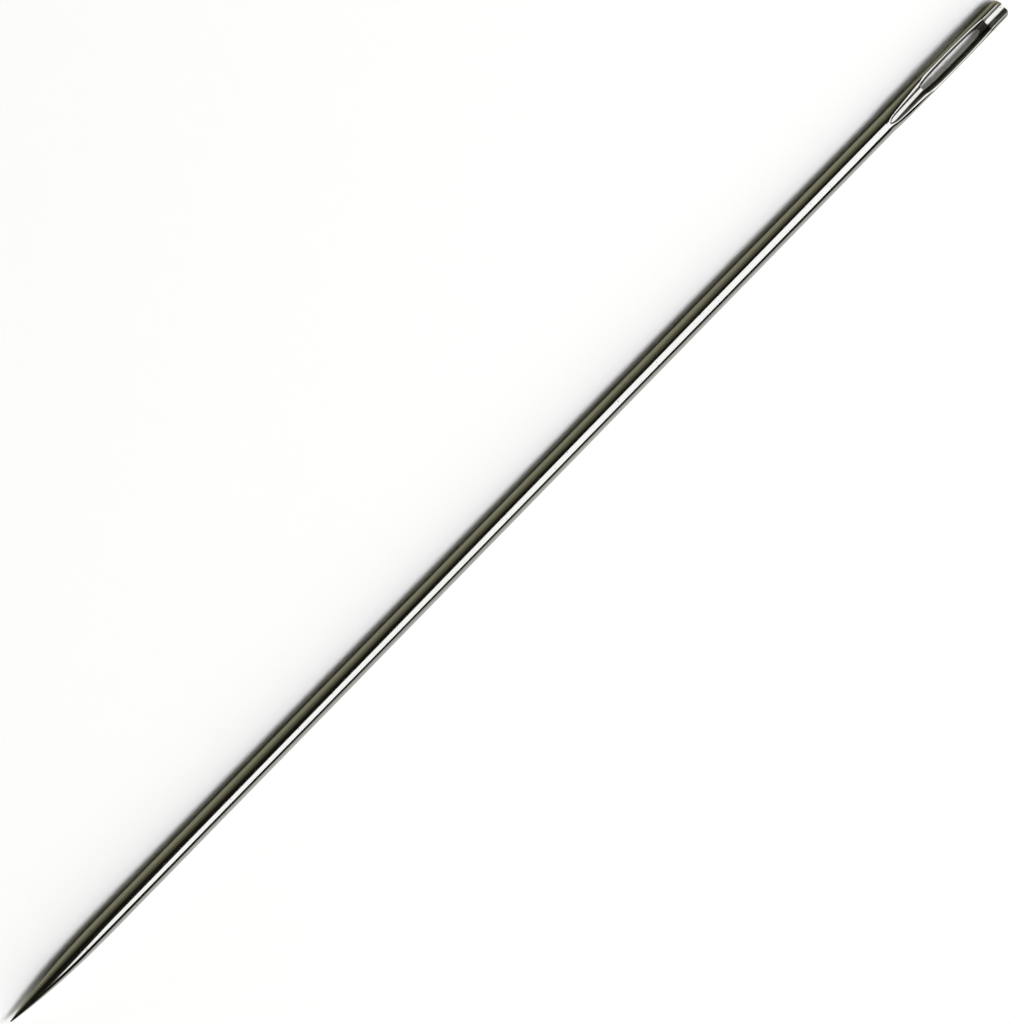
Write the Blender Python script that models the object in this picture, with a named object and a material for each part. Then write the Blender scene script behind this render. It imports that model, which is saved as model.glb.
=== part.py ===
"""Long hand-sewing needle in drawn steel wire, one solid piece.

The shaft is round and runs out into a long, full point. The head is pressed between two
dies: it spreads a little wider than the wire and gets thinner, a gutter is pressed into
each face, and a long eye is punched through the web between the two gutters. The eye's
walls flare outwards so that the thread lies sunk between the rails.

Metres, +Z up. The needle lies on the ground along X, point towards -X, eye facing up.
"""

import math

import bmesh
import bpy

# Overall
LENGTH = 0.125
SHAFT_DIAMETER = 0.00185

# Point: a rounded taper, full where it leaves the shaft
POINT_LENGTH = 0.013
POINT_FULLNESS = 2.45
TIP_DIAMETER = 0.00010

# Head, counted from the head end: end groove, eye, gutter
GROOVE_LENGTH = 0.0022
EYE_LENGTH = 0.0080
GUTTER_LENGTH = 0.0042

# Pressed section at the middle of the eye and at the head end
EYE_WIDTH = 0.00192
EYE_THICKNESS = 0.00132
EYE_SHOULDER = 0.00016
END_WIDTH = 0.00184
END_THICKNESS = 0.00150
END_SHOULDER = 0.00040

# Rounding of the square head end, seen from above and from the side
END_CORNER_LENGTH = 0.00045
END_CORNER_WIDTH = 0.00040
END_EDGE = 0.00010

# Gutters and end groove
WEB_THICKNESS = 0.00040
FLOOR_WIDTH = 0.00040
WALL_SLOPE = math.radians(63.0)
GUTTER_SINK = 0.6
GUTTER_NOSE = 0.00060

# Eye: narrowest at mid thickness, widest at the faces
EYE_WAIST = 0.00080
EYE_MOUTH = 0.00136
EYE_LAND = 0.00012
EYE_FULLNESS = 2.5
EYE_END_SLOPE = 0.00025

# How finely the curves are divided
SIDES_PER_QUARTER = 7
FLAT_HALF_ANGLE = math.radians(7.5)
POINT_STEPS = 16
SHAFT_STEPS = 8
GUTTER_STEPS = 12
EYE_STEPS = 20
GROOVE_STEPS = 4
CORNER_STEPS = 6

# Worked out from the sizes above
SHAFT_RADIUS = SHAFT_DIAMETER / 2
TIP_RADIUS = TIP_DIAMETER / 2
HALF_WEB = WEB_THICKNESS / 2
TIP_X = -LENGTH / 2
END_X = LENGTH / 2
EYE_END_X = END_X - GROOVE_LENGTH
EYE_START_X = EYE_END_X - EYE_LENGTH
GUTTER_START_X = EYE_START_X - GUTTER_LENGTH
POINT_END_X = TIP_X + POINT_LENGTH
CORNER_START_X = END_X - END_CORNER_LENGTH
CLEAR_ABOVE = SHAFT_RADIUS * 1.5


def share_of(x, start, end):
    """How far x has gone from start to end, between 0 and 1."""
    return min(max((x - start) / (end - start), 0.0), 1.0)


def blend(start, end, share):
    """A value between start and end that leaves and arrives level."""
    return start + (end - start) * share * share * (3.0 - 2.0 * share)


def point_radius(x):
    """Radius of the point: steep at the tip, level where it meets the shaft."""
    share = share_of(x, TIP_X, POINT_END_X)
    swell = 1.0 - (1.0 - share) ** POINT_FULLNESS
    return TIP_RADIUS + (SHAFT_RADIUS - TIP_RADIUS) * swell


def head_section(x):
    """Half width, half thickness and shoulder radius of the pressed head at x."""
    if x <= EYE_START_X:
        share = share_of(x, GUTTER_START_X, EYE_START_X)
        spread = 1.0 - (1.0 - share) ** 4
        half_width = SHAFT_RADIUS + (EYE_WIDTH / 2 - SHAFT_RADIUS) * spread
        half_thick = blend(SHAFT_RADIUS, EYE_THICKNESS / 2, share)
        shoulder = EYE_SHOULDER + (SHAFT_RADIUS - EYE_SHOULDER) * (1.0 - share) ** 1.25
    else:
        middle = (EYE_START_X + EYE_END_X) / 2
        share = share_of(x, middle, END_X)
        half_width = blend(EYE_WIDTH, END_WIDTH, share) / 2
        half_thick = blend(EYE_THICKNESS, END_THICKNESS, share) / 2
        shoulder = blend(EYE_SHOULDER, END_SHOULDER, share)
    if x > CORNER_START_X:
        half_width -= quarter_round(x, END_CORNER_LENGTH, END_CORNER_WIDTH)
    if x > END_X - END_EDGE:
        half_thick -= quarter_round(x, END_EDGE, END_EDGE)
    return half_width, half_thick, min(shoulder, half_width, half_thick)


def quarter_round(x, length, depth):
    """How far a rounded corner at the head end has come in at x."""
    share = share_of(x, END_X - length, END_X)
    return depth * (1.0 - math.sqrt(1.0 - share * share))


def section_points(half_width, half_thick, shoulder):
    """A flat-sided oval as (y, z) about the axis, a circle when all three sizes agree.

    The first and last corner of each quarter lie on the flats, so the sides, the top and
    the resting face touch the true outline."""
    reach = shoulder / math.cos(FLAT_HALF_ANGLE)
    turn = (math.pi / 2 - 2 * FLAT_HALF_ANGLE) / (SIDES_PER_QUARTER - 1)
    quarter = []
    for step in range(SIDES_PER_QUARTER):
        angle = FLAT_HALF_ANGLE + turn * step
        y = half_width - shoulder + reach * math.cos(angle)
        z = half_thick - shoulder + reach * math.sin(angle)
        quarter.append((y, z))
    upper_left = [(-y, z) for y, z in reversed(quarter)]
    upper = quarter + upper_left
    lower = [(-y, -z) for y, z in upper]
    return upper + lower


def stations():
    """Every x at which the blank gets a section, with the section's three sizes."""
    found = []
    for step in range(POINT_STEPS):
        x = TIP_X + POINT_LENGTH * (step / POINT_STEPS) ** 1.7
        radius = point_radius(x)
        found.append((x, (radius, radius, radius)))
    shaft_length = GUTTER_START_X - POINT_END_X
    for step in range(SHAFT_STEPS):
        x = POINT_END_X + shaft_length * step / SHAFT_STEPS
        found.append((x, (SHAFT_RADIUS, SHAFT_RADIUS, SHAFT_RADIUS)))
    spans = [
        (GUTTER_START_X, EYE_START_X, GUTTER_STEPS),
        (EYE_START_X, EYE_END_X, EYE_STEPS),
        (EYE_END_X, CORNER_START_X, GROOVE_STEPS),
    ]
    for start, end, steps in spans:
        for step in range(steps):
            x = start + (end - start) * step / steps
            found.append((x, head_section(x)))
    for step in range(CORNER_STEPS + 1):
        turn = math.pi / 2 * step / CORNER_STEPS
        x = CORNER_START_X + END_CORNER_LENGTH * math.sin(turn)
        found.append((x, head_section(x)))
    return found


def loft(name, rings):
    """A closed solid through rings of points that all have the same count."""
    mesh = bpy.data.meshes.new(name)
    bm = bmesh.new()
    rows = [[bm.verts.new(point) for point in ring] for ring in rings]
    count = len(rows[0])
    for first, second in zip(rows, rows[1:]):
        for corner in range(count):
            after = (corner + 1) % count
            bm.faces.new((first[corner], first[after], second[after], second[corner]))
    bm.faces.new(list(reversed(rows[0])))
    bm.faces.new(rows[-1])
    bmesh.ops.recalc_face_normals(bm, faces=bm.faces)
    bm.to_mesh(mesh)
    bm.free()
    made = bpy.data.objects.new(name, mesh)
    bpy.context.scene.collection.objects.link(made)
    return made


def make_blank():
    """The wire with its point, its pressed head and its rounded end, not yet cut."""
    rings = []
    for x, sizes in stations():
        rings.append([(x, y, z) for y, z in section_points(*sizes)])
    return loft("needle", rings)


def gutter_floor(x):
    """Half width and height of the gutter's floor above mid thickness at x.

    The gutter starts as a sharp nose at the surface, sinks quickly, then slowly on to
    the web, and runs level past the eye and out at the head end."""
    share = share_of(x, GUTTER_START_X, EYE_START_X)
    height = SHAFT_RADIUS - (SHAFT_RADIUS - HALF_WEB) * share**GUTTER_SINK
    nose = max(share_of(x, GUTTER_START_X, GUTTER_START_X + GUTTER_NOSE), 0.02)
    return FLOOR_WIDTH / 2 * nose**0.7, height


def make_gutter_cutter(name, side):
    """A tapered channel along one face: side is 1 for the top and -1 for the underside."""
    places = []
    for step in range(GUTTER_STEPS + 1):
        share = (step / GUTTER_STEPS) ** 1.8
        places.append(GUTTER_START_X + GUTTER_LENGTH * share)
    places.append(END_X + END_CORNER_LENGTH)
    rings = []
    for x in places:
        floor, height = gutter_floor(x)
        top = SHAFT_RADIUS + CLEAR_ABOVE
        mouth = floor + (top - height) / math.tan(WALL_SLOPE)
        ring = [(x, -floor, side * height), (x, floor, side * height)]
        ring += [(x, mouth, side * top), (x, -mouth, side * top)]
        rings.append(ring)
    return loft(name, rings)


def eye_outline(half_width, end_half_width, start_x, end_x, z):
    """A long lens with blunt ends, as a ring of points at the height z."""
    along = []
    for step in range(EYE_STEPS + 1):
        turn = math.pi * step / EYE_STEPS
        offset = -math.cos(turn)
        swell = math.sqrt(max(0.0, 1.0 - abs(offset) ** EYE_FULLNESS))
        x = (start_x + end_x) / 2 + (end_x - start_x) / 2 * offset
        y = end_half_width + (half_width - end_half_width) * swell
        along.append((x, y))
    right = [(x, -y, z) for x, y in along]
    left = [(x, y, z) for x, y in reversed(along)]
    return right + left


def make_eye_cutter():
    """The punched hole: a short straight land at mid thickness, flared to both faces."""
    face = EYE_THICKNESS / 2
    rise = (CLEAR_ABOVE + SHAFT_RADIUS - face) / (face - EYE_LAND / 2)
    flare = (EYE_MOUTH - EYE_WAIST) / 2
    top_half = EYE_MOUTH / 2 + flare * rise
    floor_half = FLOOR_WIDTH / 2
    top_end = floor_half + (top_half - EYE_WAIST / 2) * 0.75
    levels = [
        (EYE_LAND / 2, EYE_WAIST / 2, floor_half, EYE_END_SLOPE),
        (HALF_WEB, None, None, 0.0),
        (SHAFT_RADIUS + CLEAR_ABOVE, top_half, top_end, 0.0),
    ]
    rings = []
    low, high = levels[0], levels[2]
    share = (HALF_WEB - low[0]) / (high[0] - low[0])
    between = low[1] + (high[1] - low[1]) * share
    between_end = low[2] + (high[2] - low[2]) * share
    levels[1] = (HALF_WEB, between, between_end, 0.0)
    for z, half, end_half, slope in reversed(levels):
        rings.append(eye_outline(half, end_half, EYE_START_X, EYE_END_X - slope, -z))
    for z, half, end_half, slope in levels:
        rings.append(eye_outline(half, end_half, EYE_START_X, EYE_END_X - slope, z))
    return loft("eye_cutter", rings)


def cut(body, cutter):
    """Takes the cutter's shape out of the body, and hides the cutter."""
    cutter.hide_render = True
    cutter.display_type = "WIRE"
    modifier = body.modifiers.new(cutter.name, "BOOLEAN")
    modifier.operation = "DIFFERENCE"
    modifier.solver = "EXACT"
    modifier.object = cutter


def steel():
    """Plain polished steel."""
    material = bpy.data.materials.new("polished_steel")
    material.use_nodes = True
    shader = material.node_tree.nodes["Principled BSDF"]
    shader.inputs["Base Color"].default_value = (0.62, 0.61, 0.58, 1.0)
    shader.inputs["Metallic"].default_value = 1.0
    shader.inputs["Roughness"].default_value = 0.15
    return material


def main():
    for leftover in list(bpy.data.objects):
        bpy.data.objects.remove(leftover)
    needle = make_blank()
    cutters = [
        make_gutter_cutter("top_gutter_cutter", 1),
        make_gutter_cutter("under_gutter_cutter", -1),
        make_eye_cutter(),
    ]
    for cutter in cutters:
        cut(needle, cutter)
    for piece in [needle] + cutters:
        piece.location.z = SHAFT_RADIUS
    for polygon in needle.data.polygons:
        polygon.use_smooth = True
    needle.data.set_sharp_from_angle(angle=math.radians(28.0))
    needle.data.materials.append(steel())


main()
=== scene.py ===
"""Looks of the long needle: polished plated steel wire with a ground point, a pressed head,
a gutter on each face and a punched eye. Metres, +Z up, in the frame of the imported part."""

import math

import bmesh
import bpy
from mathutils import Matrix, Vector


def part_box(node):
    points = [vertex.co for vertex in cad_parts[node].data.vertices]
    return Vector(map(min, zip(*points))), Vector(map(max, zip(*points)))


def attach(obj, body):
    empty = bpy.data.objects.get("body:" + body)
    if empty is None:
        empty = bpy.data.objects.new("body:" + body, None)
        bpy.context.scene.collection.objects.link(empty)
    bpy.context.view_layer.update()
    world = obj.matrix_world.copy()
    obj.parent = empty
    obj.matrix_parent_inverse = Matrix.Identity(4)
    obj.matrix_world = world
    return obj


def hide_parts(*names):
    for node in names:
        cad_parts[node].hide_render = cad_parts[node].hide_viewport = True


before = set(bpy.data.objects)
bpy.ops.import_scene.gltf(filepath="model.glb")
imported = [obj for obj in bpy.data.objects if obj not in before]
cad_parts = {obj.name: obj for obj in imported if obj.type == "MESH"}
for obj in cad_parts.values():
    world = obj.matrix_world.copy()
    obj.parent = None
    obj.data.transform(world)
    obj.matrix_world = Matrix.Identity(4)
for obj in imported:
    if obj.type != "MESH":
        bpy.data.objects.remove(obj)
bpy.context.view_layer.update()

# Sizes of the needle, in metres; its length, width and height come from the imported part
LOW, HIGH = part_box("needle")
TIP_X = LOW.x
END_X = HIGH.x
SHAFT_RADIUS = (HIGH.z - LOW.z) / 2
AXIS_HEIGHT = LOW.z + SHAFT_RADIUS
EYE_HALF_WIDTH = (HIGH.y - LOW.y) / 2

# The point
POINT_LENGTH = 0.013
POINT_FULLNESS = 2.45
TIP_RADIUS = 0.00005

# The head, counted from its end: end groove, eye, gutter
GROOVE_LENGTH = 0.0022
EYE_LENGTH = 0.0080
GUTTER_LENGTH = 0.0042
SPREAD_LENGTH = 0.004
SPREAD_FULLNESS = 4
EYE_HALF_THICK = 0.00066
EYE_SHOULDER = 0.00009
GUTTER_SHOULDER = 0.00030
SHOULDER_FULLNESS = 0.85
SHOULDER_RUN = 0.0009
FLANK_BULGE = 0.00008
END_HALF_WIDTH = 0.00092
END_HALF_THICK = 0.00077
END_SHOULDER = 0.00042
CORNER_LENGTH = 0.00055
CORNER_WIDTH = 0.00046
END_EDGE = 0.00010

# The gutters and the eye between them
HALF_WEB = 0.00014
HALF_FLOOR = 0.00020
END_HALF_FLOOR = 0.00024
WALL_SLOPE = math.radians(63.0)
GUTTER_SINK = 0.6
GUTTER_NOSE = 0.00060
NOSE_FULLNESS = 0.7
LEAST_NOSE = 0.001
LEAST_DEPTH = 0.000001
HALF_WAIST = 0.00039
HALF_MOUTH = 0.00066
HALF_LAND = 0.00006
EYE_FULLNESS = 2.5
EYE_END_SLOPE = 0.00078
EYE_END_ROUND = 0.00030
MOUTH_TRIES = 12

# Rounded edges of the gutters and the eye, and how much of a small gutter they may take up
MOUTH_EDGE = 0.00007
EYE_MOUTH_EDGE = 0.00014
FLOOR_EDGE = 0.00007
EDGE_OF_DEPTH = 0.35
EDGE_OF_MOUTH = 0.5
EDGE_OF_FLOOR = 0.6
EDGE_OF_WALL = 0.45

# Where each stretch of the needle starts and ends
EYE_END_X = END_X - GROOVE_LENGTH
EYE_START_X = EYE_END_X - EYE_LENGTH
GUTTER_START_X = EYE_START_X - GUTTER_LENGTH
POINT_END_X = TIP_X + POINT_LENGTH
CORNER_START_X = END_X - CORNER_LENGTH
SPREAD_START_X = GUTTER_START_X - SPREAD_LENGTH

# A corner this close to an end of the eye counts as lying on it
SLACK = EYE_LENGTH * 0.00001

# Points along a quarter of the section, from the side to the middle of the face
OUTER_STEPS = 32
MOUTH_STEPS = 5
WALL_STEPS = 5
CORNER_STEPS = 4
FLOOR_STEPS = 4
QUARTER = OUTER_STEPS + MOUTH_STEPS + WALL_STEPS + CORNER_STEPS + FLOOR_STEPS
FLOOR_FROM = QUARTER - FLOOR_STEPS
AROUND = 4 * QUARTER
SHOULDER_CROWDING = 2.5

# Sections along the needle; each run has its start, its end, its number of sections and how
# much they crowd at its start
TIP_RINGS = 6
RUNS = (
    (TIP_X + TIP_RADIUS, POINT_END_X, 60, 1.5),
    (POINT_END_X, SPREAD_START_X, 24, 1.0),
    (SPREAD_START_X, GUTTER_START_X, 10, 1.0),
    (GUTTER_START_X, EYE_START_X, 90, 1.8),
)
EYE_RINGS = 120
GROOVE_RINGS = 20
CORNER_RINGS = 12
SHARP_ANGLE = math.radians(40.0)

# How much grime and painted shade, for the shade on the gutter's walls, lies along a gutter's side,
# from its rounded mouth to its floor
MOUTH_GRIME_AND_SHADE = (0.0, 0.0, 0.0, 0.1, 0.3)
WALL_GRIME_AND_SHADE = (0.6, 0.85, 1.0, 1.0, 1.0)
FOOT_GRIME_AND_SHADE = (1.0, 0.9, 0.6, 0.3)
SIDE_GRIME_AND_SHADE = (0.0,) * (OUTER_STEPS + 1) + MOUTH_GRIME_AND_SHADE + WALL_GRIME_AND_SHADE + FOOT_GRIME_AND_SHADE
SIDE_GRIME_AND_SHADE += (0.0,) * FLOOR_STEPS
# Painted shade on the eye's far end, stronger than in the gutters, and how far back from that end
# it reaches
EYE_END_PAINTED_SHADE = 1.8
EYE_END_PAINTED_SHADE_RUN = 2.0 * EYE_END_SLOPE
# Painted shade that rounds the start of the end groove's floor: how far it runs, and how softly it
# fades
NOSE_SHADE_LENGTH = 0.00040
NOSE_SHADE_FADE = 0.25
# Share of the painted shade left on the +Y side past the eye, where the walls face the light
FAR_SIDE_SHADE_SHARE = 0.3

# The steel: its tones, the tone of its grime and painted shade, how rough it is, and how deep its
# draw lines are
STEEL_LIGHT = (0.575, 0.574, 0.566)
STEEL_WARM = (0.535, 0.530, 0.512)
STEEL_MARK = (0.22, 0.20, 0.17)
STEEL_GRIME_AND_SHADE = (0.070, 0.066, 0.050)
ROUGH_LOW = 0.055
ROUGH_HIGH = 0.105
ROUGH_POINT = 0.04
ROUGH_MARKS = 0.15
ROUGH_GRIME_AND_SHADE = 0.38
BUMP_DEPTH = 0.0000002

# Patterns in the steel: how often each repeats in a metre, its detail, and its turn
DRAW_LINES = ((40.0, 9000.0, 9000.0), 3.0)
WIDE_STREAKS = ((15.0, 2200.0, 2200.0), 2.0)
SCRATCHES = ((900.0, 26000.0, 9000.0), 1.0, (0.0, 0.0, math.radians(28.0)))
FLECKS = ((5200.0, 6400.0, 6400.0), 0.0)
GRIME_AND_SHADE_PATCHES = ((900.0, 4000.0, 4000.0), 3.0)

# The values of each pattern between which it fades in, and how strongly it shows
STREAK_FADE = (0.3, 0.7)
SCRATCH_FADE = (0.69, 0.76)
FLECK_FADE = (0.79, 0.84)
PATCH_FADE = (0.25, 0.55)
PATCH_LEAST = 0.55
SCRATCH_TONE = 0.35
WIDE_STREAK_HEIGHT = 2.0
MARK_DEPTH = 1.5

# The floor: its own tone, and the darker tones, painted shade, in which the steel mirrors it on the
# needle's right, on its shaded left close by, and on its left farther off, darker still
FLOOR_HALF_SIZE = 2.0
FLOOR_ROUGH = 0.9
FLOOR_SHINE = 0.1
FLOOR_TONE = (0.90, 0.90, 0.895)
MIRRORED_RIGHT = (0.60, 0.60, 0.57)
MIRRORED_SHADE_NEAR = (0.35, 0.345, 0.235)
MIRRORED_SHADE_FAR = (0.235, 0.23, 0.155)
NEAR_ENDS = 0.0030
FAR_STARTS = 0.0060
SIDES_BLEND = 0.0005

# The photograph's frame
FRAME_WIDTH = 1009
FRAME_HEIGHT = 1024
PIXELS_ALONG = 1420.2
NEEDLE_CENTRE = (506.43, 513.83)
NEEDLE_TURN = math.radians(45.688)
CAMERA_LEAN = math.radians(13.0)
LENS = 250.0
SENSOR = 36.0
CLIP_START = 0.01
CLIP_END = 20.0

# The studio: a glowing panel and a card that only mirror in the steel, and the floor's lights
PANEL_HEIGHT = 1.5
PANEL_LOW = Vector((-0.47, -1.46))
PANEL_HIGH = Vector((1.80, 0.60))
PANEL_SLANT = (Vector((-0.52, -1.01)), Vector((-0.175, -0.105)), Vector((-0.033, 0.345)))
SOFTBOX_GLOW = 1.62
SOFTBOX_COLOUR = (1.0, 1.0, 1.0)
CARD_DISTANCE = 0.8
CARD_HALF_HEIGHT = 0.31
CARD_HALF_WIDTH = 0.15
CARD_MIDDLE = -0.01
CARD_SEGMENTS = 48
CARD_GLOW = 0.52
CARD_COLOUR = (1.0, 0.99, 0.96)
LIGHT_DISTANCE = 1.5
KEY_TOWARDS = (0.30, -0.345, 1.0)
KEY_SIZE = (1.60, 0.395)
KEY_GLOW = 10.3
KEY_COLOUR = (0.93, 0.93, 1.0)
BROAD_TOWARDS = (0.40, -0.62, 1.0)
BROAD_SIZE = (3.0, 2.1)
BROAD_GLOW = 1.48
BROAD_COLOUR = (1.0, 1.0, 0.91)
LOW_TOWARDS = (0.3, -4.3, 1.0)
LOW_SIZE = (2.0, 0.5)
LOW_GLOW = 3.0
LOW_COLOUR = (1.0, 1.0, 1.0)

# The surroundings: heights and sides, as parts of 1, between which they fade, and their tones
GLOW_UP_TO = 0.08
DARK_FROM = 0.85
SIDE_FADE = 0.3
RIGHT_SHARE = 0.05
SURROUND_DARK = (0.010, 0.009, 0.006)
SURROUND_GLOW = (0.182, 0.176, 0.117)
SURROUND_SEEN = (0.9, 0.9, 0.9)


def share_of(x, start, end):
    """How far x has gone from start to end, between 0 and 1."""
    return min(max((x - start) / (end - start), 0.0), 1.0)


def blend(start, end, share):
    """A value between start and end that leaves and arrives level."""
    return start + (end - start) * share * share * (3.0 - 2.0 * share)


def point_radius(x):
    """Radius of the ground point, with its very tip rounded."""
    share = share_of(x, TIP_X, POINT_END_X)
    swell = 1.0 - (1.0 - share) ** POINT_FULLNESS
    radius = TIP_RADIUS + (SHAFT_RADIUS - TIP_RADIUS) * swell
    into_tip = share_of(x, TIP_X, TIP_X + TIP_RADIUS)
    return radius * math.sqrt(1.0 - (1.0 - into_tip) ** 2)


def corner_drop(x, length, depth):
    """How far a rounded corner at the head end has come in at x."""
    share = share_of(x, END_X - length, END_X)
    return depth * (1.0 - math.sqrt(1.0 - share * share))


def pressed_sizes(x):
    """Half width, half thickness, shoulder radius and bulge of the flanks of the head at x."""
    if x <= EYE_START_X:
        share = share_of(x, GUTTER_START_X, EYE_START_X)
        spread = 1.0 - (1.0 - share) ** SPREAD_FULLNESS
        half_width = SHAFT_RADIUS + (EYE_HALF_WIDTH - SHAFT_RADIUS) * spread
        half_thick = blend(SHAFT_RADIUS, EYE_HALF_THICK, share)
        shoulder = SHAFT_RADIUS + (GUTTER_SHOULDER - SHAFT_RADIUS) * share**SHOULDER_FULLNESS
    else:
        middle = (EYE_START_X + EYE_END_X) / 2
        share = share_of(x, middle, END_X)
        half_width = blend(EYE_HALF_WIDTH, END_HALF_WIDTH, share)
        half_thick = blend(EYE_HALF_THICK, END_HALF_THICK, share)
        settled = share_of(x, EYE_START_X, EYE_START_X + SHOULDER_RUN)
        shoulder = blend(GUTTER_SHOULDER, EYE_SHOULDER, settled)
        shoulder += blend(0.0, END_SHOULDER - EYE_SHOULDER, share)
    half_width -= corner_drop(x, CORNER_LENGTH, CORNER_WIDTH)
    half_thick -= corner_drop(x, END_EDGE, END_EDGE)
    bulge = blend(0.0, FLANK_BULGE, share_of(x, GUTTER_START_X, EYE_START_X))
    return half_width, half_thick, min(shoulder, half_width, half_thick), bulge


def outer_point(sizes, travelled):
    """The point (y, z) that lies so far along the outside, counted from the side."""
    half_width, half_thick, shoulder, bulge = sizes
    flat = half_thick - shoulder
    arc = shoulder * math.pi / 2
    if travelled < flat:
        y, z = half_width, travelled
    elif travelled < flat + arc:
        angle = (travelled - flat) / shoulder
        y = half_width - shoulder + shoulder * math.cos(angle)
        z = half_thick - shoulder + shoulder * math.sin(angle)
    else:
        y, z = half_width - shoulder - (travelled - flat - arc), half_thick
    return y - bulge * (z / half_thick) ** 2, z


def outer_length(sizes, y):
    """How far along the outside the point of the face with this y lies, from the side."""
    half_width, half_thick, shoulder, bulge = sizes
    flat = half_thick - shoulder
    crest_start = half_width - shoulder
    y += bulge
    if y >= crest_start:
        return flat + shoulder * math.acos(min((y - crest_start) / shoulder, 1.0))
    return flat + shoulder * math.pi / 2 + crest_start - y


def outer_places(sizes, length):
    """Evenly weighted places along the outside, closer together where it turns tightly."""
    _, half_thick, shoulder, _ = sizes
    flat = half_thick - shoulder
    arc = min(shoulder * math.pi / 2, length - flat)
    crest = length - flat - arc
    weight = 1.0 + SHOULDER_CROWDING * (1.0 - shoulder / SHAFT_RADIUS)
    total = flat + arc * weight + crest
    places = []
    for step in range(OUTER_STEPS + 1):
        reach = total * step / OUTER_STEPS
        if reach < flat:
            places.append(reach)
        elif reach < flat + arc * weight:
            places.append(flat + (reach - flat) / weight)
        else:
            places.append(reach - arc * weight + arc)
    return places


def lerp(first, second, share):
    """The point a share of the way between two points of the section."""
    y = first[0] + (second[0] - first[0]) * share
    return y, first[1] + (second[1] - first[1]) * share


def rounded(first, corner, last, steps):
    """Points of a curve that leaves first towards corner and arrives at last from it."""
    made = []
    for step in range(1, steps + 1):
        share = step / steps
        made.append(lerp(lerp(first, corner, share), lerp(corner, last, share), share))
    return made


def eye_swell(x):
    """How far the eye's outline has opened at x, from 0 at its ends to 1 at its middle."""
    offset = 2.0 * share_of(x, EYE_START_X, EYE_END_X) - 1.0
    return math.sqrt(1.0 - abs(offset) ** EYE_FULLNESS)


def groove_sizes(x, sizes):
    """Half width of the mouth, and half width and height of the floor, at x."""
    share = share_of(x, GUTTER_START_X, EYE_START_X)
    height = SHAFT_RADIUS - (SHAFT_RADIUS - HALF_WEB) * share**GUTTER_SINK
    nose = max(share_of(x, GUTTER_START_X, GUTTER_START_X + GUTTER_NOSE), LEAST_NOSE)
    floor = HALF_FLOOR * nose**NOSE_FULLNESS
    floor += (END_HALF_FLOOR - HALF_FLOOR) * share_of(x, EYE_START_X, EYE_END_X)
    mouth = floor
    for _ in range(MOUTH_TRIES):
        rim = outer_point(sizes, outer_length(sizes, mouth))[1]
        mouth = floor + max(rim - height, LEAST_DEPTH) / math.tan(WALL_SLOPE)
    return mouth, floor, height


def section(x):
    """The points (y, z) of one quarter of the needle's section, side to face."""
    if x <= GUTTER_START_X:
        radius = point_radius(x)
        even = [math.pi / 2 * step / QUARTER for step in range(QUARTER + 1)]
        gather = blend(0.0, 1.0, share_of(x, SPREAD_START_X, GUTTER_START_X))
        if gather == 0.0:
            return [(radius * math.cos(a), radius * math.sin(a)) for a in even]
        start = grooved_section(GUTTER_START_X)
        angles = [math.atan2(z, y) for y, z in start]
        turned = [a + (b - a) * gather for a, b in zip(even, angles)]
        return [(radius * math.cos(a), radius * math.sin(a)) for a in turned]
    return grooved_section(x)


def grooved_section(x):
    """The same with the gutter, or with one side wall of the eye, in it."""
    sizes = pressed_sizes(x)
    mouth, floor, height = groove_sizes(x, sizes)
    in_eye = EYE_START_X < x < EYE_END_X
    mouth_edge = MOUTH_EDGE
    if in_eye:
        swell = eye_swell(x)
        mouth += (HALF_MOUTH - mouth) * swell
        floor += (HALF_WAIST - floor) * swell
        height = HALF_LAND
        mouth_edge += (EYE_MOUTH_EDGE - MOUTH_EDGE) * swell
    depth = sizes[1] - height
    mouth_edge = min(mouth_edge, depth * EDGE_OF_DEPTH, mouth * EDGE_OF_MOUTH)
    floor_edge = min(FLOOR_EDGE, depth * EDGE_OF_DEPTH, floor * EDGE_OF_FLOOR)
    full = outer_length(sizes, mouth)
    rim = outer_point(sizes, full)
    foot = (floor, height)
    wall = math.hypot(rim[0] - foot[0], rim[1] - foot[1])
    points = [outer_point(sizes, place) for place in outer_places(sizes, full - mouth_edge)]
    below_rim = lerp(rim, foot, min(mouth_edge / wall, EDGE_OF_WALL))
    points += rounded(points[-1], rim, below_rim, MOUTH_STEPS)
    above_foot = lerp(foot, rim, min(floor_edge / wall, EDGE_OF_WALL))
    for step in range(1, WALL_STEPS + 1):
        points.append(lerp(below_rim, above_foot, step / WALL_STEPS))
    if in_eye:
        for step in range(1, CORNER_STEPS + 1):
            points.append(lerp(above_foot, foot, step / CORNER_STEPS))
        beside = foot
    else:
        beside = (floor - floor_edge, height)
        points += rounded(above_foot, foot, beside, CORNER_STEPS)
    for step in range(1, FLOOR_STEPS + 1):
        points.append(lerp(beside, (0.0, height), step / FLOOR_STEPS))
    return points


def ring_points(x):
    """The whole section at x as (y, z), once round from the +Y side."""
    quarter = section(x)
    upper = quarter + [(-y, z) for y, z in reversed(quarter[:-1])]
    lower = [(-y, -z) for y, z in upper[1:-1]]
    return upper + lower


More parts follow.
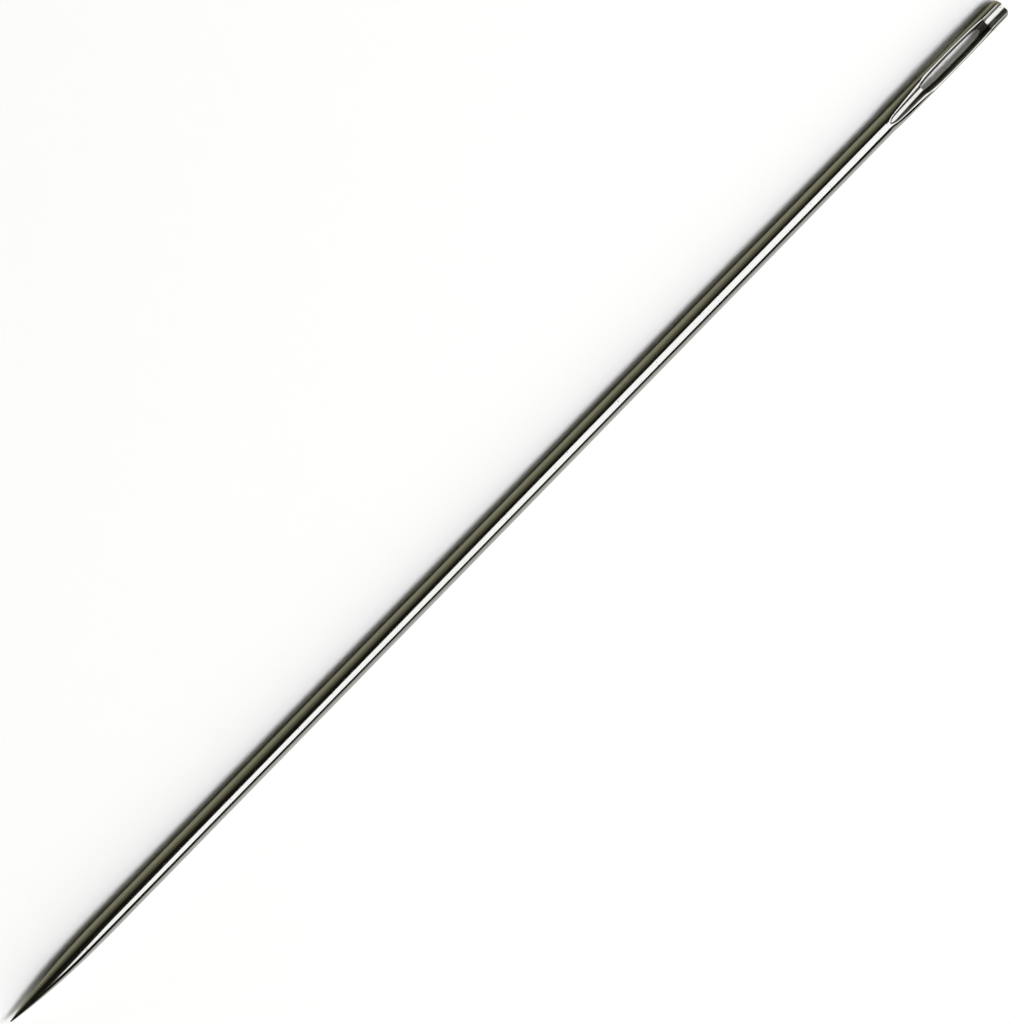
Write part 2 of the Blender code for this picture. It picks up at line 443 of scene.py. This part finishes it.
def stations():
    """Every x at which the needle gets a section."""
    found = []
    for step in range(1, TIP_RINGS):
        found.append(TIP_X + TIP_RADIUS * (1.0 - math.cos(math.pi / 2 * step / TIP_RINGS)))
    for start, end, rings, crowding in RUNS:
        for step in range(rings):
            found.append(start + (end - start) * (step / rings) ** crowding)
    for step in range(EYE_RINGS + 1):
        share = 0.5 - 0.5 * math.cos(math.pi * step / EYE_RINGS)
        found.append(EYE_START_X + EYE_LENGTH * share)
    for step in range(1, GROOVE_RINGS):
        found.append(EYE_END_X + (CORNER_START_X - EYE_END_X) * step / GROOVE_RINGS)
    for step in range(CORNER_RINGS + 1):
        share = math.sin(math.pi / 2 * step / CORNER_RINGS)
        found.append(CORNER_START_X + CORNER_LENGTH * share)
    return found


def next_ring(bm, edges, place, x):
    """Extrudes the open end by one ring and sets the new corners on the section at x."""
    made = bmesh.ops.extrude_edge_only(bm, edges=edges)["geom"]
    corners = {item for item in made if isinstance(item, bmesh.types.BMVert)}
    points = ring_points(x)
    for corner in corners:
        y, z = points[corner[place]]
        corner.co = (x, y, AXIS_HEIGHT + z)
    ends = [item for item in made if isinstance(item, bmesh.types.BMEdge)]
    return [edge for edge in ends if edge.verts[0] in corners and edge.verts[1] in corners]


def punch_eye(bm, place):
    """Takes out the floors between the ends of the eye and joins the two rims that are left."""
    half = AROUND // 2
    upper_floor = range(FLOOR_FROM, half - FLOOR_FROM + 1)
    lower_floor = range(half + FLOOR_FROM, AROUND - FLOOR_FROM + 1)
    cut = []
    for face in bm.faces:
        if not all(EYE_START_X - SLACK < corner.co.x < EYE_END_X + SLACK for corner in face.verts):
            continue
        places = [corner[place] for corner in face.verts]
        if any(all(number in floor for number in places) for floor in (upper_floor, lower_floor)):
            cut.append(face)
    bmesh.ops.delete(bm, geom=cut, context="FACES")
    rims = [edge for edge in bm.edges if edge.is_boundary]
    walls = bmesh.ops.bridge_loops(bm, edges=rims)
    middle = bmesh.ops.subdivide_edges(bm, edges=walls["edges"], cuts=1)
    grime_and_shade = bm.verts.layers.float["grime_and_shade"]
    for corner in middle["geom_inner"]:
        if isinstance(corner, bmesh.types.BMVert):
            slope_far_end(corner, grime_and_shade)


def slope_far_end(corner, grime_and_shade):
    """Moves a corner of the eye's middle line, so that the far end is sloped and round, and gives
    the far end painted shade.
    """
    share = share_of(corner.co.x, EYE_START_X, EYE_END_X)
    rounding = 1.0
    if corner.co.x > EYE_END_X - SLACK:
        beside = min(abs(corner.co.y) / END_HALF_FLOOR, 1.0)
        rounding -= math.sqrt(1.0 - beside * beside)
    corner.co.x -= (EYE_END_SLOPE + EYE_END_ROUND * rounding) * share
    if corner.co.x > EYE_END_X - EYE_END_PAINTED_SHADE_RUN:
        corner[grime_and_shade] = EYE_END_PAINTED_SHADE


def nose_painted_shade(x, from_side):
    """Painted shade that rounds the start of the end groove's floor, where it leaves the eye."""
    into = share_of(x, EYE_END_X, EYE_END_X + NOSE_SHADE_LENGTH)
    half_clear = math.sqrt(1.0 - (1.0 - into) ** 2)
    beside = (QUARTER - from_side) / FLOOR_STEPS
    return min(max((beside - half_clear) / NOSE_SHADE_FADE, 0.0), 1.0)


def grime_and_shade_at(x, y, from_side):
    """How much grime and painted shade a corner carries: gutter sides and the eye's land, but not
    the floors; the eye's far end gets painted shade, and the +Y side less of it.
    """
    past_eye = x > EYE_END_X + SLACK
    if x <= GUTTER_START_X:
        return 0.0
    if EYE_START_X + SLACK < x and not past_eye and from_side >= FLOOR_FROM:
        return 1.0 if x < EYE_END_X - SLACK else EYE_END_PAINTED_SHADE
    grime_and_shade_amount = SIDE_GRIME_AND_SHADE[from_side]
    # Less painted shade on the +Y side, whose walls face the light; none at the gutter's start
    if y > 0.0:
        grime_and_shade_amount *= FAR_SIDE_SHADE_SHARE if past_eye else share_of(x, GUTTER_START_X, EYE_START_X) ** 2
    if past_eye and from_side >= FLOOR_FROM:
        grime_and_shade_amount = max(grime_and_shade_amount, nose_painted_shade(x, from_side))
    return grime_and_shade_amount


def lay_grime_and_shade(bm, place):
    """Writes on each corner how much grime and painted shade it carries."""
    grime_and_shade = bm.verts.layers.float.new("grime_and_shade")
    half = AROUND // 2
    for corner in bm.verts:
        from_side = min(corner[place] % half, half - corner[place] % half)
        corner[grime_and_shade] = grime_and_shade_at(corner.co.x, corner.co.y, from_side)


def as_object(name, bm):
    """The finished mesh as an object in the scene."""
    mesh = bpy.data.meshes.new(name)
    bm.to_mesh(mesh)
    bm.free()
    made = bpy.data.objects.new(name, mesh)
    bpy.context.scene.collection.objects.link(made)
    return made


def make_needle():
    """The whole needle as one closed mesh."""
    bm = bmesh.new()
    place = bm.verts.layers.int.new("place")
    start = bmesh.ops.create_circle(bm, cap_ends=True, segments=AROUND, radius=TIP_RADIUS)
    all_stations = stations()
    points = ring_points(all_stations[0])
    for number, corner in enumerate(start["verts"]):
        corner[place] = number
        corner.co = (all_stations[0], points[number][0], AXIS_HEIGHT + points[number][1])
    edges = [edge for edge in bm.edges if edge.is_boundary]
    for x in all_stations[1:]:
        edges = next_ring(bm, edges, place, x)
    bmesh.ops.edgeloop_fill(bm, edges=edges)
    lay_grime_and_shade(bm, place)
    punch_eye(bm, place)
    bmesh.ops.recalc_face_normals(bm, faces=bm.faces)
    for face in bm.faces:
        face.smooth = True
    made = as_object("polished_needle", bm)
    made.data.set_sharp_from_angle(angle=SHARP_ANGLE)
    return made


def streaks(tree, scale, detail, turn=(0.0, 0.0, 0.0)):
    """A noise that is drawn out along the needle; scale is how often it repeats in a metre."""
    where = tree.nodes.new("ShaderNodeTexCoord")
    drawn = tree.nodes.new("ShaderNodeMapping")
    drawn.inputs["Scale"].default_value = scale
    drawn.inputs["Rotation"].default_value = turn
    tree.links.new(where.outputs["Object"], drawn.inputs["Vector"])
    noise = tree.nodes.new("ShaderNodeTexNoise")
    noise.inputs["Scale"].default_value = 1.0
    noise.inputs["Detail"].default_value = detail
    tree.links.new(drawn.outputs["Vector"], noise.inputs["Vector"])
    return noise.outputs["Fac"]


def place_along(tree, axis, space="Object"):
    """How far a point lies along one axis."""
    where = tree.nodes.new("ShaderNodeTexCoord")
    split = tree.nodes.new("ShaderNodeSeparateXYZ")
    tree.links.new(where.outputs[space], split.inputs[0])
    return split.outputs[axis]


def stretch(tree, value, low, high, start=0.0, end=1.0, kind="LINEAR"):
    """Value moved from the range low..high to start..end, and held inside it."""
    node = tree.nodes.new("ShaderNodeMapRange")
    node.interpolation_type = kind
    tree.links.new(value, node.inputs["Value"])
    node.inputs["From Min"].default_value = low
    node.inputs["From Max"].default_value = high
    node.inputs["To Min"].default_value = start
    node.inputs["To Max"].default_value = end
    return node.outputs["Result"]


def calculate(tree, operation, first, second):
    """One sum on two values, each a socket or a number."""
    node = tree.nodes.new("ShaderNodeMath")
    node.operation = operation
    for socket, value in zip(node.inputs, (first, second)):
        if isinstance(value, (int, float)):
            socket.default_value = value
        else:
            tree.links.new(value, socket)
    return node.outputs["Value"]


def between(tree, mask, first, second):
    """The colour first where mask is 0 and second where it is 1; each a socket or a colour."""
    node = tree.nodes.new("ShaderNodeMix")
    node.data_type = "RGBA"
    tree.links.new(mask, node.inputs["Factor"])
    for socket, colour in (("A", first), ("B", second)):
        if isinstance(colour, tuple):
            node.inputs[socket].default_value = (*colour, 1.0)
        else:
            tree.links.new(colour, node.inputs[socket])
    return node.outputs["Result"]


def plated_steel():
    """Plated steel: draw lines, fine scratches, a duller point, and grime with painted shade in the
    gutters and the eye.
    """
    material = bpy.data.materials.new("polished_plated_steel")
    material.use_nodes = True
    tree = material.node_tree
    shader = tree.nodes["Principled BSDF"]
    shader.inputs["Metallic"].default_value = 1.0
    draw_lines = streaks(tree, *DRAW_LINES)
    wide_streaks = streaks(tree, *WIDE_STREAKS)
    scratches = stretch(tree, streaks(tree, *SCRATCHES), *SCRATCH_FADE)
    flecks = stretch(tree, streaks(tree, *FLECKS), *FLECK_FADE)
    grime_and_shade_patches = stretch(tree, streaks(tree, *GRIME_AND_SHADE_PATCHES), *PATCH_FADE, PATCH_LEAST)
    grime_and_shade = tree.nodes.new("ShaderNodeAttribute")
    grime_and_shade.attribute_name = "grime_and_shade"
    grime_and_shade_amount = calculate(tree, "MULTIPLY", grime_and_shade.outputs["Fac"], grime_and_shade_patches)
    ground = stretch(tree, place_along(tree, "X"), POINT_END_X, TIP_X)

    tone = between(tree, stretch(tree, wide_streaks, *STREAK_FADE), STEEL_LIGHT, STEEL_WARM)
    faint_scratches = calculate(tree, "MULTIPLY", scratches, SCRATCH_TONE)
    marks = calculate(tree, "MAXIMUM", faint_scratches, flecks)
    tone = between(tree, marks, tone, STEEL_MARK)
    # Grime and painted shade darken the gutters and the eye towards a near black
    tree.links.new(between(tree, grime_and_shade_amount, tone, STEEL_GRIME_AND_SHADE), shader.inputs["Base Color"])

    rough = stretch(tree, draw_lines, *STREAK_FADE, ROUGH_LOW, ROUGH_HIGH)
    for mask, amount in ((ground, ROUGH_POINT), (marks, ROUGH_MARKS), (grime_and_shade_amount, ROUGH_GRIME_AND_SHADE)):
        rough = calculate(tree, "ADD", rough, calculate(tree, "MULTIPLY", mask, amount))
    tree.links.new(rough, shader.inputs["Roughness"])

    raised = calculate(tree, "MULTIPLY", wide_streaks, WIDE_STREAK_HEIGHT)
    height = calculate(tree, "ADD", draw_lines, raised)
    sunk = calculate(tree, "MULTIPLY", marks, MARK_DEPTH)
    height = calculate(tree, "SUBTRACT", height, sunk)
    bump = tree.nodes.new("ShaderNodeBump")
    bump.inputs["Distance"].default_value = BUMP_DEPTH
    tree.links.new(height, bump.inputs["Height"])
    tree.links.new(bump.outputs["Normal"], shader.inputs["Normal"])
    return material


def make_floor():
    """A wide plain pale floor under the needle; the steel mirrors it with painted shade, darker on
    its left.
    """
    bm = bmesh.new()
    bmesh.ops.create_grid(bm, x_segments=1, y_segments=1, size=FLOOR_HALF_SIZE)
    floor = as_object("pale_floor", bm)
    material = bpy.data.materials.new("pale_floor")
    material.use_nodes = True
    tree = material.node_tree
    shader = tree.nodes["Principled BSDF"]
    shader.inputs["Roughness"].default_value = FLOOR_ROUGH
    shader.inputs["Specular IOR Level"].default_value = FLOOR_SHINE
    aside = place_along(tree, "Y")
    # Painted shade in the mirror image: the floor's left, where the needle's shadow lies, is
    # darker, and darker still farther off
    farther = stretch(tree, aside, NEAR_ENDS, FAR_STARTS)
    mirrored_shaded_left = between(tree, farther, MIRRORED_SHADE_NEAR, MIRRORED_SHADE_FAR)
    on_left = stretch(tree, aside, -SIDES_BLEND, SIDES_BLEND)
    mirrored = between(tree, on_left, MIRRORED_RIGHT, mirrored_shaded_left)
    ray = tree.nodes.new("ShaderNodeLightPath")
    tone = between(tree, ray.outputs["Is Camera Ray"], mirrored, FLOOR_TONE)
    tree.links.new(tone, shader.inputs["Base Color"])
    floor.data.materials.append(material)


def aim(thing, place, back, up):
    """Puts a camera or light at place, looking against back, with up as its upper side."""
    z = back.normalized()
    y = (up - up.dot(z) * z).normalized()
    x = y.cross(z)
    turned = Matrix((x, y, z)).transposed().to_4x4()
    thing.matrix_world = Matrix.Translation(place) @ turned


def make_camera(target):
    """The photograph's view: long lens, almost straight down, needle across the frame."""
    metres_per_pixel = (END_X - TIP_X) / PIXELS_ALONG
    distance = LENS * metres_per_pixel * FRAME_HEIGHT / SENSOR
    back = Vector((0.0, math.sin(CAMERA_LEAN), math.cos(CAMERA_LEAN)))
    along = Vector((1.0, 0.0, 0.0))
    beside = back.cross(along)
    right = math.cos(NEEDLE_TURN) * along - math.sin(NEEDLE_TURN) * beside
    up = math.sin(NEEDLE_TURN) * along + math.cos(NEEDLE_TURN) * beside
    off_right = (NEEDLE_CENTRE[0] - FRAME_WIDTH / 2) * metres_per_pixel
    off_up = (FRAME_HEIGHT / 2 - NEEDLE_CENTRE[1]) * metres_per_pixel
    data = bpy.data.cameras.new("view")
    data.lens = LENS
    data.sensor_width = SENSOR
    data.clip_start = CLIP_START
    data.clip_end = CLIP_END
    camera = bpy.data.objects.new("view", data)
    bpy.context.scene.collection.objects.link(camera)
    aim(camera, target + back * distance - right * off_right - up * off_up, back, up)
    bpy.context.scene.camera = camera


def show_only_in_steel(panel, colour, strength):
    """Makes a panel glow, and keeps it out of everything but the steel's mirror image."""
    material = bpy.data.materials.new(panel.name + "_glow")
    material.use_nodes = True
    shader = material.node_tree.nodes["Principled BSDF"]
    shader.inputs["Base Color"].default_value = (0.0, 0.0, 0.0, 1.0)
    shader.inputs["Specular IOR Level"].default_value = 0.0
    shader.inputs["Emission Color"].default_value = (*colour, 1.0)
    shader.inputs["Emission Strength"].default_value = strength
    panel.data.materials.append(material)
    panel.visible_camera = False
    panel.visible_diffuse = False


def make_softbox():
    """The large soft light panel above the needle, with its two slanted left edges."""
    bm = bmesh.new()
    bmesh.ops.create_grid(bm, x_segments=1, y_segments=1, size=0.5)
    size = (PANEL_HIGH - PANEL_LOW).to_3d()
    middle = ((PANEL_HIGH + PANEL_LOW) / 2).to_3d()
    bmesh.ops.scale(bm, verts=bm.verts, vec=(size.x, size.y, 1.0))
    bmesh.ops.translate(bm, verts=bm.verts, vec=(middle.x, middle.y, PANEL_HEIGHT))
    for near, far in zip(PANEL_SLANT, PANEL_SLANT[1:]):
        along = far - near
        outward = Vector((-along.y, along.x, 0.0))
        everything = list(bm.verts) + list(bm.edges) + list(bm.faces)
        bmesh.ops.bisect_plane(
            bm, geom=everything, plane_co=near.to_3d(), plane_no=outward, clear_outer=True
        )
    softbox = as_object("softbox", bm)
    show_only_in_steel(softbox, SOFTBOX_COLOUR, SOFTBOX_GLOW)


def make_side_card():
    """The pale card that stands on the floor on the needle's right side."""
    bm = bmesh.new()
    bmesh.ops.create_circle(bm, cap_ends=True, segments=CARD_SEGMENTS, radius=1.0)
    bmesh.ops.scale(bm, verts=bm.verts, vec=(CARD_HALF_WIDTH, CARD_HALF_HEIGHT, 1.0))
    upright = Matrix.Rotation(math.radians(90.0), 3, "X")
    bmesh.ops.rotate(bm, verts=bm.verts, cent=(0.0, 0.0, 0.0), matrix=upright)
    bmesh.ops.translate(bm, verts=bm.verts, vec=(CARD_MIDDLE, -CARD_DISTANCE, 0.0))
    card = as_object("side_card", bm)
    show_only_in_steel(card, CARD_COLOUR, CARD_GLOW)


def make_floor_light(name, target, towards, size, glow, colour):
    """A soft light that falls on the floor and doesn't mirror in the steel."""
    data = bpy.data.lights.new(name, "AREA")
    data.color = colour
    data.shape = "RECTANGLE"
    data.size, data.size_y = size
    data.energy = glow * math.pi * data.size * data.size_y
    light = bpy.data.objects.new(name, data)
    light.visible_camera = False
    light.visible_glossy = False
    bpy.context.scene.collection.objects.link(light)
    towards = Vector(towards).normalized()
    aim(light, target + towards * LIGHT_DISTANCE, towards, Vector((0.0, 1.0, 0.0)))


def make_world():
    """Dim olive surroundings, darker overhead and on the right; pale where the camera sees them."""
    world = bpy.data.worlds.new("studio")
    bpy.context.scene.world = world
    world.use_nodes = True
    tree = world.node_tree
    up = place_along(tree, "Z", "Generated")
    aside = place_along(tree, "Y", "Generated")
    low_down = stretch(tree, up, GLOW_UP_TO, DARK_FROM, 1.0, 0.0, "SMOOTHSTEP")
    on_left = stretch(tree, aside, -SIDE_FADE, SIDE_FADE, RIGHT_SHARE, 1.0, "SMOOTHSTEP")
    glow = calculate(tree, "MULTIPLY", low_down, on_left)
    mirrored = between(tree, glow, SURROUND_DARK, SURROUND_GLOW)
    ray = tree.nodes.new("ShaderNodeLightPath")
    tone = between(tree, ray.outputs["Is Camera Ray"], mirrored, SURROUND_SEEN)
    tree.links.new(tone, tree.nodes["Background"].inputs["Color"])
    world.cycles_visibility.diffuse = False


needle = make_needle()
needle.data.materials.append(plated_steel())
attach(needle, "root")
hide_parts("needle")

centre = Vector(((TIP_X + END_X) / 2, 0.0, AXIS_HEIGHT))
make_floor()
make_softbox()
make_side_card()
make_floor_light("key_light", centre, KEY_TOWARDS, KEY_SIZE, KEY_GLOW, KEY_COLOUR)
make_floor_light("broad_light", centre, BROAD_TOWARDS, BROAD_SIZE, BROAD_GLOW, BROAD_COLOUR)
make_floor_light("low_light", centre, LOW_TOWARDS, LOW_SIZE, LOW_GLOW, LOW_COLOUR)
make_world()
make_camera(centre)
bpy.context.scene.view_settings.view_transform = "Standard"
